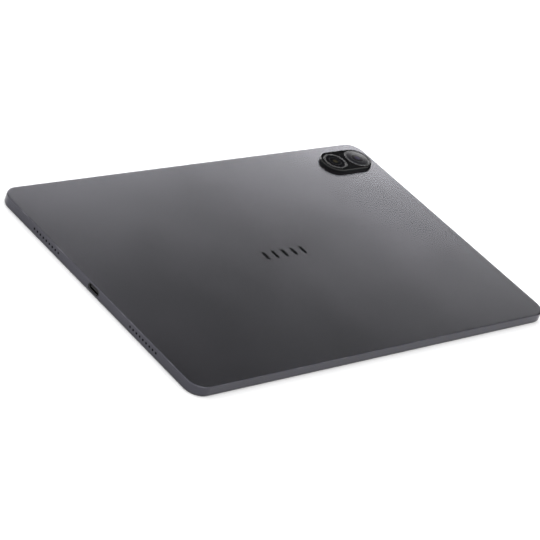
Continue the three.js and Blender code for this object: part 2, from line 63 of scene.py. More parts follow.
def place_camera():
    back = aim_direction(VIEW_AZIMUTH, VIEW_ELEVATION)
    level_right = (-back).cross(Vector((0, 0, 1))).normalized()
    level_up = level_right.cross(-back)
    right = math.cos(VIEW_LEAN) * level_right + math.sin(VIEW_LEAN) * level_up
    up = math.cos(VIEW_LEAN) * level_up - math.sin(VIEW_LEAN) * level_right
    turn = Matrix((right, up, back)).transposed().to_4x4()
    stand = back * VIEW_DISTANCE - right * VIEW_SLIDE_RIGHT - up * VIEW_SLIDE_UP
    camera = bpy.data.objects.new("camera", bpy.data.cameras.new("camera"))
    camera.matrix_world = Matrix.Translation(stand) @ turn
    camera.data.lens = LENS_LENGTH
    bpy.context.scene.collection.objects.link(camera)
    bpy.context.scene.camera = camera


def softbox(name, azimuth, elevation, distance, width, height, watts):
    """A flat studio lamp that faces the object."""
    lamp = bpy.data.lights.new(name, "AREA")
    lamp.shape = "RECTANGLE"
    lamp.size = width
    lamp.size_y = height
    lamp.energy = watts
    holder = bpy.data.objects.new(name, lamp)
    toward = aim_direction(math.radians(azimuth), math.radians(elevation))
    holder.matrix_world = toward.to_track_quat("Z", "Y").to_matrix().to_4x4()
    holder.location = toward * distance
    holder.visible_camera = False
    bpy.context.scene.collection.objects.link(holder)


def add_node(tree, kind, settings, sockets):
    """Makes one node: its settings first, then a value or a link for each socket named."""
    node = tree.nodes.new(kind)
    for name, value in settings.items():
        setattr(node, name, value)
    for name, value in sockets.items():
        value = getattr(value, "socket", value)
        if isinstance(value, bpy.types.NodeSocket):
            tree.links.new(value, node.inputs[name])
        else:
            node.inputs[name].default_value = value
    return node


def hang_cloth():
    """White cloth round and over the table, with a dark gap behind the far corner."""
    studio = bpy.data.worlds.new("studio")
    studio.use_nodes = True
    tree = studio.node_tree
    tree.nodes.clear()
    sight = add_node(tree, "ShaderNodeTexCoord", {}, {}).outputs["Generated"]
    away_from_gap = aim_direction(VIEW_AZIMUTH, math.radians(20))
    sockets = {0: sight, 1: away_from_gap}
    nearness = add_node(tree, "ShaderNodeVectorMath", {"operation": "DOT_PRODUCT"}, sockets)
    sockets = {
        "Value": nearness.outputs["Value"],
        "From Min": -0.4,
        "From Max": -0.05,
        "To Min": 0.05,
        "To Max": 1.45,
    }
    cloth = add_node(tree, "ShaderNodeMapRange", {"interpolation_type": "SMOOTHSTEP"}, sockets)
    sockets = {"Color": (1, 1, 1, 1), "Strength": cloth.outputs["Result"]}
    glow = add_node(tree, "ShaderNodeBackground", {}, sockets)
    add_node(tree, "ShaderNodeOutputWorld", {}, {"Surface": glow.outputs[0]})
    bpy.context.scene.world = studio


place_camera()
softbox("far_lamp", azimuth=144, elevation=15, distance=0.95, width=1.45, height=0.2, watts=13)
softbox("far_panel", azimuth=152, elevation=22, distance=1.0, width=0.45, height=0.2, watts=0.9)
hang_cloth()
bpy.context.scene.view_settings.view_transform = "Standard"


# ---------------------------------------------------------------- finishes
# Each finish is a node material. Numbers that vary over a surface are written as
# sums and products of Value, and Finish.node makes every other node.
class Value:
    """A number that varies over a surface; arithmetic on it adds Math nodes."""

    def __init__(self, finish, socket):
        self.finish = finish
        self.socket = socket

    def maths(self, operation, *terms):
        settings = {"operation": operation}
        node = self.finish.node("ShaderNodeMath", settings, dict(enumerate(terms)))
        return Value(self.finish, node.outputs[0])

    def __add__(self, other):
        return self.maths("ADD", self, other)

    def __sub__(self, other):
        return self.maths("SUBTRACT", self, other)

    def __mul__(self, other):
        return self.maths("MULTIPLY", self, other)

    def __rsub__(self, other):
        return self.maths("SUBTRACT", other, self)

    def __pow__(self, power):
        return self.maths("POWER", self, power)

    def __abs__(self):
        return self.maths("ABSOLUTE", self)

    __radd__ = __add__
    __rmul__ = __mul__

    def sine(self):
        return self.maths("SINE", self)

    def angle_from(self, across):
        """The angle whose rise is this number and whose run is across."""
        return self.maths("ARCTAN2", self, across)

    def at_least(self, other):
        return self.maths("MAXIMUM", self, other)

    def at_most(self, other):
        return self.maths("MINIMUM", self, other)

    def ramp(self, low, high):
        """0 at or before low, 1 at or past high, smooth between."""
        settings = {"interpolation_type": "SMOOTHSTEP"}
        sockets = {"Value": self, "From Min": low, "From Max": high}
        if low > high:
            sockets.update({"From Min": high, "From Max": low, "To Min": 1.0, "To Max": 0.0})
        node = self.finish.node("ShaderNodeMapRange", settings, sockets)
        return Value(self.finish, node.outputs["Result"])


MIX_AMOUNT = 0
MIX_FIRST = 6
MIX_SECOND = 7
MIX_COLOUR = 2


class Finish:
    """A material being made; constants are set on the shader's own sockets."""

    def __init__(self, name, **constants):
        self.material = bpy.data.materials.new(name)
        self.material.use_nodes = True
        self.tree = self.material.node_tree
        self.tree.nodes.clear()
        sockets = {key.replace("_", " "): value for key, value in constants.items()}
        self.shader = self.node("ShaderNodeBsdfPrincipled", {}, sockets)
        surface = {"Surface": self.shader.outputs[0]}
        self.output = self.node("ShaderNodeOutputMaterial", {}, surface)
        self.place = self.node("ShaderNodeTexCoord", {}, {}).outputs["Object"]
        self.facing = self.node("ShaderNodeNewGeometry", {}, {}).outputs["Normal"]

    def node(self, kind, settings, sockets):
        return add_node(self.tree, kind, settings, sockets)

    def vary(self, **sockets):
        """Feeds the shader with what changes over the surface."""
        for name, value in sockets.items():
            socket = getattr(value, "socket", value)
            self.tree.links.new(socket, self.shader.inputs[name.replace("_", " ")])

    def axes(self, vector=None):
        """The x, y and z of a vector, the place in metres unless told otherwise."""
        split = self.node("ShaderNodeSeparateXYZ", {}, {"Vector": vector or self.place})
        return [Value(self, output) for output in split.outputs]

    def stretched(self, *factors):
        """The place with each axis scaled, which draws a pattern out along the small ones."""
        settings = {"operation": "MULTIPLY"}
        node = self.node("ShaderNodeVectorMath", settings, {0: self.place, 1: factors})
        return node.outputs[0]

    def noise(self, grain, detail=2.0, vector=None):
        """Cloudy pattern from 0 to 1 whose lumps are about grain millimetres wide."""
        sockets = {"Vector": vector or self.place, "Scale": 1000 / grain, "Detail": detail}
        return Value(self, self.node("ShaderNodeTexNoise", {}, sockets).outputs["Fac"])

    def cells(self, grain, feature="F1"):
        """Distance pattern of scattered points about grain millimetres apart."""
        sockets = {"Vector": self.place, "Scale": 1000 / grain}
        node = self.node("ShaderNodeTexVoronoi", {"feature": feature}, sockets)
        return Value(self, node.outputs["Distance"])

    def mix(self, amount, first, second):
        """A colour between two colours."""
        linked = bpy.types.NodeSocket
        first, second = (c if isinstance(c, linked) else (*c, 1) for c in (first, second))
        sockets = {MIX_AMOUNT: amount, MIX_FIRST: first, MIX_SECOND: second}
        return self.node("ShaderNodeMix", {"data_type": "RGBA"}, sockets).outputs[MIX_COLOUR]

    def bump(self, height, depth_mm, strength=1.0):
        """Surface relief; height runs from 0 to 1 over depth_mm millimetres."""
        sockets = {"Height": height, "Distance": depth_mm / 1000, "Strength": strength}
        return self.node("ShaderNodeBump", {}, sockets).outputs["Normal"]


# The table is a plain flat top, wide enough to reach past every view of the tablet.
def table_finish():
    """Pale matt table top; from below it is clear, so the screen side can be looked at."""
    finish = Finish("pale_table", Roughness=0.9, Specular_IOR_Level=0.1, Emission_Strength=0.15)
    fibre = finish.noise(14, 3)
    pale = finish.mix(fibre, (0.86, 0.86, 0.865), (0.9, 0.9, 0.9))
    finish.vary(Base_Color=pale, Emission_Color=pale)
    clear = finish.node("ShaderNodeBsdfTransparent", {}, {})
    below = finish.node("ShaderNodeNewGeometry", {}, {}).outputs["Backfacing"]
    sockets = {0: below, 1: finish.shader.outputs[0], 2: clear.outputs[0]}
    both = finish.node("ShaderNodeMixShader", {}, sockets)
    finish.tree.links.new(both.outputs[0], finish.output.inputs["Surface"])
    return finish.material


TABLE_HALF = 4.0
TABLE_DROP = 0.00002
table_mesh = bpy.data.meshes.new("table")
sides = [(-1, -1), (1, -1), (1, 1), (-1, 1)]
table_corners = [(x * TABLE_HALF, y * TABLE_HALF, -TABLE_DROP) for x, y in sides]
table_mesh.from_pydata(table_corners, [], [(0, 1, 2, 3)])
table_mesh.materials.append(table_finish())
table = bpy.data.objects.new("table", table_mesh)
bpy.context.scene.collection.objects.link(table)


# ---------------------------------------------------------------- rear housing
# The back and the four walls are one tray milled from aluminium plate, bead blasted
# and anodised dark grey. Its back edge is rounded over, and the speaker holes, the
# port slot and the key slots are milled through the walls.
def box_mm(node):
    low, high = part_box(node)
    return low * 1000, high * 1000


def arc(inset, height, radius, start, end, steps):
    """Points (inset, height) of a round edge; 0 degrees faces out, 90 faces up."""
    angles = [math.radians(start + (end - start) * i / steps) for i in range(steps + 1)]
    return [(inset - radius * math.cos(a), height + radius * math.sin(a)) for a in angles]


def rounded(half_x, half_y, radius, steps):
    """Corner rounds of an outline, anticlockwise from the lower right corner."""
    points = []
    for corner, (side_x, side_y) in enumerate([(1, -1), (1, 1), (-1, 1), (-1, -1)]):
        for i in range(steps + 1):
            angle = math.radians(90 * (corner - 1 + i / steps))
            x = side_x * (half_x - radius) + radius * math.cos(angle)
            y = side_y * (half_y - radius) + radius * math.sin(angle)
            points.append((x, y))
    return points


def upright(x, y):
    """Places a shape drawn flat so that it stands at x, y."""
    return lambda u, v, w: (x + u, y + v, w)


def in_short_wall(y, z):
    """Places a shape drawn flat so that its own height runs along X."""
    return lambda u, v, w: (w, y + u, z + v)


def in_long_wall(x, z):
    """Places a shape drawn flat so that its own height runs along Y."""
    return lambda u, v, w: (x + u, w, z + v)


class Form:
    """Points and faces of a piece while it is being shaped, in millimetres."""

    def __init__(self):
        self.points = []
        self.faces = []

    def skin(self, rings, closed=False):
        """Joins rings of equal count. Open ends are capped; a closed profile has none."""
        start = len(self.points)
        count = len(rings[0])
        for ring in rings:
            self.points.extend(ring)
        for i in range(len(rings) if closed else len(rings) - 1):
            low = start + i * count
            high = start + (i + 1) % len(rings) * count
            for j in range(count):
                k = (j + 1) % count
                self.faces.append((low + j, low + k, high + k, high + j))
        if not closed:
            last = start + (len(rings) - 1) * count
            self.faces.append(tuple(reversed(range(start, start + count))))
            self.faces.append(tuple(range(last, last + count)))
        return self

    def moulded(
        self, half_x, half_y, radius, profile, steps=12, place=upright(0, 0), closed=False
    ):
        """A rounded outline carried through (inset, height) points."""
        rings = []
        for inset, height in profile:
            outline = rounded(half_x - inset, half_y - inset, max(radius - inset, 0.01), steps)
            rings.append([place(u, v, height) for u, v in outline])
        return self.skin(rings, closed)

    def turned(self, profile, steps=48, place=upright(0, 0), closed=False):
        """A round shape carried through (radius, height) points."""
        turns = [2 * math.pi * i / steps for i in range(steps)]
        rings = [
            [place(radius * math.cos(t), radius * math.sin(t), height) for t in turns]
            for radius, height in profile
        ]
        return self.skin(rings, closed)

    def made(self, name):
        """The finished object in metres, with its faces turned outward."""
        mesh = bpy.data.meshes.new(name)
        mesh.from_pydata([Vector(p) / 1000 for p in self.points], [], self.faces)
        shape = bmesh.new()
        shape.from_mesh(mesh)
        bmesh.ops.remove_doubles(shape, verts=shape.verts, dist=1e-7)
        bmesh.ops.recalc_face_normals(shape, faces=shape.faces)
        shape.to_mesh(mesh)
        shape.free()
        piece = bpy.data.objects.new(name, mesh)
        bpy.context.scene.collection.objects.link(piece)
        return piece


def carve(piece, form):
    """Cuts a form from a piece and leaves a plain mesh."""
    tool = form.made("tool")
    change = piece.modifiers.new("carve", "BOOLEAN")
    change.operation = "DIFFERENCE"
    change.solver = "EXACT"
    change.object = tool
    graph = bpy.context.evaluated_depsgraph_get()
    mesh = bpy.data.meshes.new_from_object(piece.evaluated_get(graph))
    piece.modifiers.clear()
    piece.data = mesh
    bpy.data.objects.remove(tool)


def dress(piece, material, body, nodes, crease=32):
    """Shades a shaped piece and ties it to the frame."""
    shape = bmesh.new()
    shape.from_mesh(piece.data)
    bmesh.ops.dissolve_degenerate(shape, edges=shape.edges, dist=1e-8)
    for face in shape.faces:
        face.smooth = True
    for edge in shape.edges:
        edge.smooth = edge.calc_face_angle(math.pi) < math.radians(crease)
    shape.to_mesh(piece.data)
    shape.free()
    piece.data.materials.clear()
    piece.data.materials.append(material)
    weigh = piece.modifiers.new("even_shading", "WEIGHTED_NORMAL")
    weigh.keep_sharp = True
    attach(piece, body)
    if nodes:
        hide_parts(*nodes)
    return piece


tray_low, tray_high = box_mm("rear_housing")
port_low, port_high = box_mm("usb_c_shell")
block_low, block_high = box_mm("camera_bump")
HALF_X = tray_high.x
HALF_Y = tray_high.y
CORNER = 9.6
WALL = 1.6
BACK_SKIN = 0.8
BACK_ROUND = 0.7
FOOT_ROUND = 0.25
CORNER_STEPS = 24
CEILING = tray_high.z - BACK_SKIN
PORT_Z = (port_low.z + port_high.z) / 2
PORT_GAP = 0.3
HOLE_MIDDLE_Y = 44
HOLE_COUNT = 9
HOLE_PITCH = 2.82
HOLE_RADIUS = 0.625
KEY_Z = 3.6
KEY_HALF_HEIGHT = 1.1
KEY_GAP = 0.3
KEYS = {"power_key": (104, 7), "volume_rocker": (72, 12)}
MICROPHONE_X = -14
MICROPHONE_RADIUS = 0.5
OVERCUT = 0.3
RUNOUT = 0.5


def milled_tray():
    foot_z = tray_low.z + FOOT_ROUND
    shoulder_z = tray_high.z - BACK_ROUND
    outside = arc(FOOT_ROUND, foot_z, FOOT_ROUND, start=-90, end=0, steps=3)
    outside += arc(BACK_ROUND, shoulder_z, BACK_ROUND, start=0, end=90, steps=8)
    form = Form().moulded(HALF_X, HALF_Y, CORNER, outside, CORNER_STEPS)
    tray = form.made("rear_housing_body")
    lead_in = 0.15
    hollow = [(WALL - lead_in, tray_low.z - lead_in), (WALL, tray_low.z), (WALL, CEILING)]
    carve(tray, Form().moulded(HALF_X, HALF_Y, CORNER, hollow, CORNER_STEPS))
    return tray


def wall_cut(face, inward, flare):
    """(inset, height) points of a cut through a wall, countersunk where it meets the outside."""
    return [
        (-flare - OVERCUT, face - inward * OVERCUT),
        (-flare, face),
        (0, face + inward * flare),
        (0, face + inward * (WALL + RUNOUT)),
    ]


def wall_holes():
    """Round speaker holes in both short walls, each with a fine countersink."""
    form = Form()
    for side in (-1, 1):
        cut = wall_cut(side * HALF_X, -side, flare=0.09)
        profile = [(HOLE_RADIUS - inset, height) for inset, height in cut]
        for group in (-1, 1):
            for i in range(HOLE_COUNT):
                y = group * HOLE_MIDDLE_Y + (i - (HOLE_COUNT - 1) / 2) * HOLE_PITCH
                form.turned(profile, 24, in_short_wall(y, PORT_Z))
    return form


def wall_slots():
    """The port slot, the two key slots and the microphone hole."""
    form = Form()
    half_width = port_high.y + PORT_GAP
    half_height = (port_high.z - port_low.z) / 2 + PORT_GAP
    port_cut = wall_cut(-HALF_X, 1, flare=0.1)
    form.moulded(half_width, half_height, half_height, port_cut, 14, in_short_wall(0, PORT_Z))
    half_height = KEY_HALF_HEIGHT + KEY_GAP
    key_cut = wall_cut(HALF_Y, -1, flare=0.1)
    for x, half_length in KEYS.values():
        place = in_long_wall(x, KEY_Z)
        form.moulded(half_length + KEY_GAP, half_height, half_height, key_cut, 12, place)
    flare = MICROPHONE_RADIUS / 2
    hole = [
        (MICROPHONE_RADIUS + flare, HALF_Y + flare),
        (MICROPHONE_RADIUS, HALF_Y),
        (MICROPHONE_RADIUS, HALF_Y - WALL - RUNOUT),
    ]
    form.turned(hole, 20, in_long_wall(MICROPHONE_X, PORT_Z))
    return form


def anodised_finish(name, marked):
    """Bead-blasted grey anodising: fine speckle, faint clouds, and a painted highlight in patches
    along the rounded edges.
    """
    finish = Finish(name, Metallic=0.95)
    speckle = finish.noise(0.45, 2)
    clouds = finish.noise(60, 3)
    edge_highlight_patches = finish.noise(7, 4)
    tone = (clouds * 0.8 + speckle * 0.2).ramp(0.3, 0.7)
    colour = finish.mix(tone, (0.062, 0.0615, 0.0725), (0.071, 0.07, 0.0825))
    upward = abs(finish.axes(finish.facing)[2])
    edge = upward.ramp(0.25, 0.6) * upward.ramp(0.97, 0.8)
    # Painted highlight: the colour is made lighter, in patches, on the rounded edges where light
    # catches the round. The same patches are also made a little smoother.
    painted_edge_highlight = edge * edge_highlight_patches.ramp(0.45, 0.75)
    colour = finish.mix(painted_edge_highlight * 0.5, colour, (0.2, 0.2, 0.215))
    roughness = 0.2 + clouds * 0.03 + speckle * 0.006 - painted_edge_highlight * 0.03
    if marked:
        ink = back_mark(finish)
        colour = finish.mix(ink, colour, (0.01, 0.01, 0.011))
        roughness = roughness - ink * 0.1
    finish.vary(Base_Color=colour, Roughness=roughness)
    return finish.material


def back_mark(finish):
    """Five short dark strokes with round ends, printed side by side on the middle of the back."""
    x, y, z = finish.axes()
    stroke_half = 0.0024
    stroke_radius = 0.0011
    spacing = 0.0072
    soft = 0.00006
    back_z = tray_high.z / 1000
    beyond = (abs(y) - stroke_half).at_least(0.0)
    nearest = abs(x)
    for step in (1, 2):
        nearest = nearest.at_most(abs(abs(x) - step * spacing))
    distance = (beyond * beyond + nearest * nearest) ** 0.5
    ink = distance.ramp(stroke_radius + soft, stroke_radius - soft)
    return ink * z.ramp(back_z - 0.0003, back_z - 0.0001)


tray = milled_tray()
carve(tray, wall_holes())
carve(tray, wall_slots())
block_x = (block_low.x + block_high.x) / 2
block_y = (block_low.y + block_high.y) / 2
block_half_x = (block_high.x - block_low.x) / 2
block_half_y = (block_high.y - block_low.y) / 2
PLUG_HALF_WIDTH = 7.3
OPENING_GAP = 0.3
PLUG_INSET = block_half_y - PLUG_HALF_WIDTH
OPENING_INSET = PLUG_INSET - OPENING_GAP
opening_profile = [(OPENING_INSET, CEILING - RUNOUT), (OPENING_INSET, tray_high.z + RUNOUT)]
block_place = upright(block_x, block_y)
camera_opening = Form().moulded(
    block_half_x, block_half_y, block_half_y, opening_profile, 20, block_place
)
carve(tray, camera_opening)
grey_metal = anodised_finish("grey_anodised", marked=True)
dress(tray, grey_metal, "case", ["rear_housing"])


# ---------------------------------------------------------------- display frame
# A thin ring of black moulded plastic glued between the metal wall and the glass. It
# carries the glass on an inner ledge, and a tongue on its back locates it in the tray.
def fine_black_plastic(name):
    finish = Finish(name, Specular_IOR_Level=0.45)
    spark = finish.noise(0.12, 3)
    patch = finish.noise(9, 2)
    colour = finish.mix(patch, (0.012, 0.012, 0.013), (0.02, 0.02, 0.022))
    relief = finish.bump(spark, 0.006, 0.5)
    finish.vary(Base_Color=colour, Roughness=0.42 + spark * 0.2, Normal=relief)
    return finish.material


black_plastic = fine_black_plastic("black_moulding")
frame_low, frame_high = box_mm("display_frame")
glass_low, glass_high = box_mm("cover_glass")
FRAME_INSET = HALF_X - frame_high.x
FRAME_ROUND = 0.15
LIP_INSET = 1.35
LIP_BEVEL = 0.08
LEDGE_INSET = 2.9
TONGUE_OUTER_INSET = 1.9
TONGUE_INNER_INSET = 2.6
GLUE_LINE = 0.05
ring_top = tray_low.z - GLUE_LINE
ledge_top = glass_high.z + GLUE_LINE
frame_profile = [
    (FRAME_INSET, ring_top),
    (FRAME_INSET, frame_low.z + FRAME_ROUND),
    (FRAME_INSET + 0.05, frame_low.z + 0.04),
    (FRAME_INSET + FRAME_ROUND, frame_low.z),
    (LIP_INSET - LIP_BEVEL, frame_low.z),
    (LIP_INSET, frame_low.z + LIP_BEVEL),
    (LIP_INSET, ledge_top),
    (LEDGE_INSET, ledge_top),
    (LEDGE_INSET, ring_top),
    (TONGUE_INNER_INSET, ring_top),
    (TONGUE_INNER_INSET, frame_high.z),
    (TONGUE_OUTER_INSET, frame_high.z),
    (TONGUE_OUTER_INSET, ring_top),
]
frame_form = Form().moulded(HALF_X, HALF_Y, CORNER, frame_profile, CORNER_STEPS, closed=True)
frame_ring = frame_form.made("display_frame_ring")
dress(frame_ring, black_plastic, "case", ["display_frame"])


# ---------------------------------------------------------------- cover glass
# One sheet of strengthened glass with its outer rim ground to a curve. It is printed
# black from behind round the lit area, with a clear spot for the front camera.
GLASS_CORNER = CORNER - 1.45
GROUND_WIDTH = 0.55
GROUND_HEIGHT = 0.3
BACK_EDGE = 0.08
LIT_HALF_X = 0.1295
LIT_HALF_Y = 0.0809
SPOT_Y = 0.0844


def glass_form():
    steps = 7
    angles = [math.radians(90 * i / steps) for i in range(steps + 1)]
    profile = [
        (GROUND_WIDTH * (1 - math.sin(a)), GROUND_HEIGHT * (1 - math.cos(a))) for a in angles
    ]
    profile += [(0, glass_high.z - BACK_EDGE), (BACK_EDGE, glass_high.z)]
    return Form().moulded(glass_high.x, glass_high.y, GLASS_CORNER, profile, CORNER_STEPS)


def screen_finish():
    """Polished glass over a black border and a dark, switched-off picture area."""
    finish = Finish("screen_glass", IOR=1.5)
    x, y = finish.axes()[:2]
    outside = (abs(x) - LIT_HALF_X).at_least(abs(y) - LIT_HALF_Y)
    border = outside.ramp(-0.00008, 0.00008)
    colour = finish.mix(border, (0.0075, 0.0085, 0.0115), (0.0022, 0.0022, 0.0024))
    spot = (x * x + (y - SPOT_Y) * (y - SPOT_Y)) ** 0.5
    colour = finish.mix(spot.ramp(0.00165, 0.0015), colour, (0.02, 0.02, 0.024))
    colour = finish.mix(spot.ramp(0.00105, 0.00095), colour, (0.002, 0.003, 0.012))
    smear = finish.noise(38, 4, finish.stretched(1, 0.45, 1))
    finger = finish.noise(0.6, 2)
    roughness = 0.035 + smear.ramp(0.52, 0.8) * 0.09 * (0.6 + finger * 0.6)
    finish.vary(Base_Color=colour, Roughness=roughness)
    return finish.material


glass_sheet = glass_form().made("cover_glass_sheet")
dress(glass_sheet, screen_finish(), "case", ["cover_glass"])


# ---------------------------------------------------------------- rear camera block
# A pill-shaped block of polished black moulding with a bevelled rim stands proud of
# the back. Two round seats are turned in it, each holding a metal ring and a window.
flash_low, flash_high = box_mm("flash_ring")
lens_low, lens_high = box_mm("lens_ring")
flash_x = (flash_low.x + flash_high.x) / 2
lens_x = (lens_low.x + lens_high.x) / 2
SEAT_Z = flash_low.z - GLUE_LINE
SEAT_GAP = 0.1
SEAT_BEVEL = 0.06
RIM_BEVEL = 0.35
FLASH_BORE = 2.2
LENS_BORE = 4.4


def camera_block():
    top = block_high.z
    foot = tray_high.z + GLUE_LINE
    rim = [
        (PLUG_INSET, block_low.z),
        (PLUG_INSET, foot),
        (0.0, foot),
        (0.0, top - RIM_BEVEL - 0.1),
        (0.03, top - RIM_BEVEL),
        (RIM_BEVEL, top),
    ]
    form = Form().moulded(block_half_x, block_half_y, block_half_y, rim, 28, block_place)
    block = form.made("camera_block")
    seats = Form()
    for x, edge, bore in ((flash_x, flash_high.x, FLASH_BORE), (lens_x, lens_high.x, LENS_BORE)):
        radius = edge - x + SEAT_GAP
        profile = [
            (bore, block_low.z - RUNOUT),
            (bore, SEAT_Z),
            (radius, SEAT_Z),
            (radius, top - SEAT_BEVEL),
            (radius + SEAT_BEVEL, top),
            (radius + SEAT_BEVEL, top + RUNOUT),
        ]
        seats.turned(profile, 64, upright(x, block_y))
    carve(block, seats)
    return block


def polished_black():
    finish = Finish("polished_black", Specular_IOR_Level=0.4)
    haze = finish.noise(3.5, 3)
    dust = finish.cells(0.5).ramp(0.09, 0.05) * finish.noise(1.4, 2).ramp(0.6, 0.7)
    colour = finish.mix(dust * 0.12, (0.003, 0.003, 0.0035), (0.12, 0.12, 0.12))
    finish.vary(Base_Color=colour, Roughness=0.04 + haze * 0.02 + dust * 0.2)
    return finish.material


dress(camera_block(), polished_black(), "case", ["camera_bump"])


# ---------------------------------------------------------------- camera rings
# Two dark anodised aluminium rings, turned on a lathe so that fine grooves run round
# them. Their inner edges lean in toward the windows.
GROOVE_PITCH = 0.00009
RING_CHAMFER = 0.12
FLASH_WINDOW_RADIUS = 6.35
LENS_WINDOW_RADIUS = 7.5


def about_centre(finish, centre_x):
    """How far a point lies from a ring's centre along X, along Y and outright, in metres."""
    x, y = finish.axes()[:2]
    from_x = x - centre_x / 1000
    from_y = y - block_y / 1000
    return from_x, from_y, (from_x * from_x + from_y * from_y) ** 0.5


def turned_metal(name, centre_x):
    finish = Finish(name, Metallic=1.0)
    radius = about_centre(finish, centre_x)[2]
    groove = (radius * (2 * math.pi / GROOVE_PITCH)).sine() * 0.5 + 0.5
    patina = finish.noise(1.2, 3)
    colour = finish.mix(patina, (0.009, 0.009, 0.01), (0.014, 0.014, 0.015))
    relief = finish.bump(groove, 0.0005, 0.6)
    finish.vary(Base_Color=colour, Roughness=0.15 + patina * 0.04, Normal=relief)
    return finish.material


def ring_form(outer, inner, low, high, x):
    profile = [
        (inner, low),
        (outer, low),
        (outer, high - RING_CHAMFER),
        (outer - RING_CHAMFER, high),
        (inner + RING_CHAMFER, high),
        (inner, high - RING_CHAMFER),
    ]
    return Form().turned(profile, 72, upright(x, block_y), closed=True)


rings = (
    ("flash_ring", flash_low, flash_high, flash_x, FLASH_WINDOW_RADIUS),
    ("lens_ring", lens_low, lens_high, lens_x, LENS_WINDOW_RADIUS),
)
for name, low, high, x, window in rings:
    form = ring_form(high.x - x, window + SEAT_GAP, low.z, high.z, x)
    metal = turned_metal(name + "_metal", x)
    dress(form.made(name + "_turned"), metal, "case", [name], crease=25)


# ---------------------------------------------------------------- camera windows
# The left window is a flat disc of black-backed glass with a circle of fine tick marks
# round a clear spot for the flash. The right one is a domed lens glass, coated and dark.
TICK_COUNT = 24
DISC_BEVEL = 0.06


def flash_window_finish():
    finish = Finish("flash_window_glass", IOR=1.5)
    from_x, from_y, radius = about_centre(finish, flash_x)
    teeth = (from_y.angle_from(from_x) * TICK_COUNT).sine().ramp(0.8, 0.9)
    band = radius.ramp(0.00355, 0.00362) * radius.ramp(0.00412, 0.00405)
    colour = finish.mix(teeth * band, (0.002, 0.002, 0.003), (0.06, 0.06, 0.06))
    spot = radius.ramp(0.0017, 0.0016)
    yellow = finish.mix(finish.cells(0.35), (0.03, 0.027, 0.016), (0.016, 0.014, 0.008))
    colour = finish.mix(spot, colour, yellow)
    haze = finish.noise(2, 3)
    finish.vary(Base_Color=colour, Roughness=0.03 + haze * 0.03)
    return finish.material


flash_window_low, flash_window_high = box_mm("flash_window")
disc_profile = [
    (FLASH_WINDOW_RADIUS, flash_window_low.z),
    (FLASH_WINDOW_RADIUS, flash_window_high.z - DISC_BEVEL),
    (FLASH_WINDOW_RADIUS - DISC_BEVEL, flash_window_high.z),
]
flash_disc = Form().turned(disc_profile, 72, upright(flash_x, block_y)).made("flash_window_disc")
dress(flash_disc, flash_window_finish(), "case", ["flash_window"])


def lens_window_finish():
    """Dark coated glass: the black tube shows as rings under a faint violet and green bloom."""
    finish = Finish("lens_window_glass", IOR=1.08)
    radius = about_centre(finish, lens_x)[2]
    outer = radius.ramp(0.0066, 0.0071)
    colour = finish.mix(outer, (0.009, 0.009, 0.011), (0.03, 0.03, 0.032))
    tube = radius.ramp(0.0043, 0.00415)
    colour = finish.mix(tube, colour, (0.003, 0.003, 0.004))
    lip = radius.ramp(0.00385, 0.0039) * radius.ramp(0.00415, 0.0041)
    colour = finish.mix(lip, colour, (0.035, 0.035, 0.038))
    bloom = radius.ramp(0.0027, 0.0009)
    colour = finish.mix(bloom * 0.6, colour, (0.01, 0.006, 0.03))
    haze = finish.noise(2.4, 3)
    finish.vary(Base_Color=colour, Roughness=0.16 + haze * 0.05)
    return finish.material


lens_window_low, lens_window_high = box_mm("lens_window")
DOME_RISE = 0.25
DOME_STEPS = 16
LAST_ANGLE = 88
dome_rim = lens_window_high.z - DOME_RISE
dome_profile = [(LENS_WINDOW_RADIUS, lens_window_low.z), (LENS_WINDOW_RADIUS, dome_rim - 0.04)]
for i in range(DOME_STEPS + 1):
    across = math.cos(math.radians(LAST_ANGLE * i / DOME_STEPS))
    height = dome_rim + DOME_RISE * (1 - across * across)
    dome_profile.append(((LENS_WINDOW_RADIUS - 0.03) * across, height))
lens_dome = Form().turned(dome_profile, 72, upright(lens_x, block_y)).made("lens_window_dome")
dress(lens_dome, lens_window_finish(), "case", ["lens_window"])


# ---------------------------------------------------------------- edge keys
# The power key and the volume rocker are aluminium caps with round ends, anodised with
# the tray. A flange behind the wall keeps each one in, and feet on it reach the switches.
key_low, key_high = box_mm("power_key")
KEY_FACE = key_high.y
KEY_ROUND = 0.3
FOOT_BACK = key_low.y
FOOT_LENGTH = 0.4
FLANGE_THICKNESS = 0.65
FLANGE_OVERHANG = 0.9
FLANGE_HALF_HEIGHT = 1.4
FLANGE_BACK = FOOT_BACK + FOOT_LENGTH
FLANGE_FRONT = FLANGE_BACK + FLANGE_THICKNESS
SWITCH_OFFSET = 8


def key_form(x, half_length, feet):
    form = Form()
    place = in_long_wall(x, KEY_Z)
    round_edge = arc(KEY_ROUND, KEY_FACE - KEY_ROUND, KEY_ROUND, start=0, end=90, steps=6)
    cap = [(0, FLANGE_FRONT)] + round_edge
    form.moulded(half_length, KEY_HALF_HEIGHT, KEY_HALF_HEIGHT, cap, 14, place)
    flange = [(0, FLANGE_BACK), (0, FLANGE_FRONT)]
    form.moulded(half_length + FLANGE_OVERHANG, FLANGE_HALF_HEIGHT, 0.3, flange, 3, place)
    foot = [(0, FOOT_BACK), (0, FLANGE_BACK)]
    for foot_x in feet:
        form.moulded(1, 0.5, 0.15, foot, 3, in_long_wall(foot_x, KEY_Z))
    return form


key_metal = anodised_finish("key_anodised", marked=False)
for name, (x, half_length) in KEYS.items():
    feet = [x] if name == "power_key" else [x - SWITCH_OFFSET, x + SWITCH_OFFSET]
    cap = key_form(x, half_length, feet).made(name + "_cap")
    dress(cap, key_metal, name, [name])


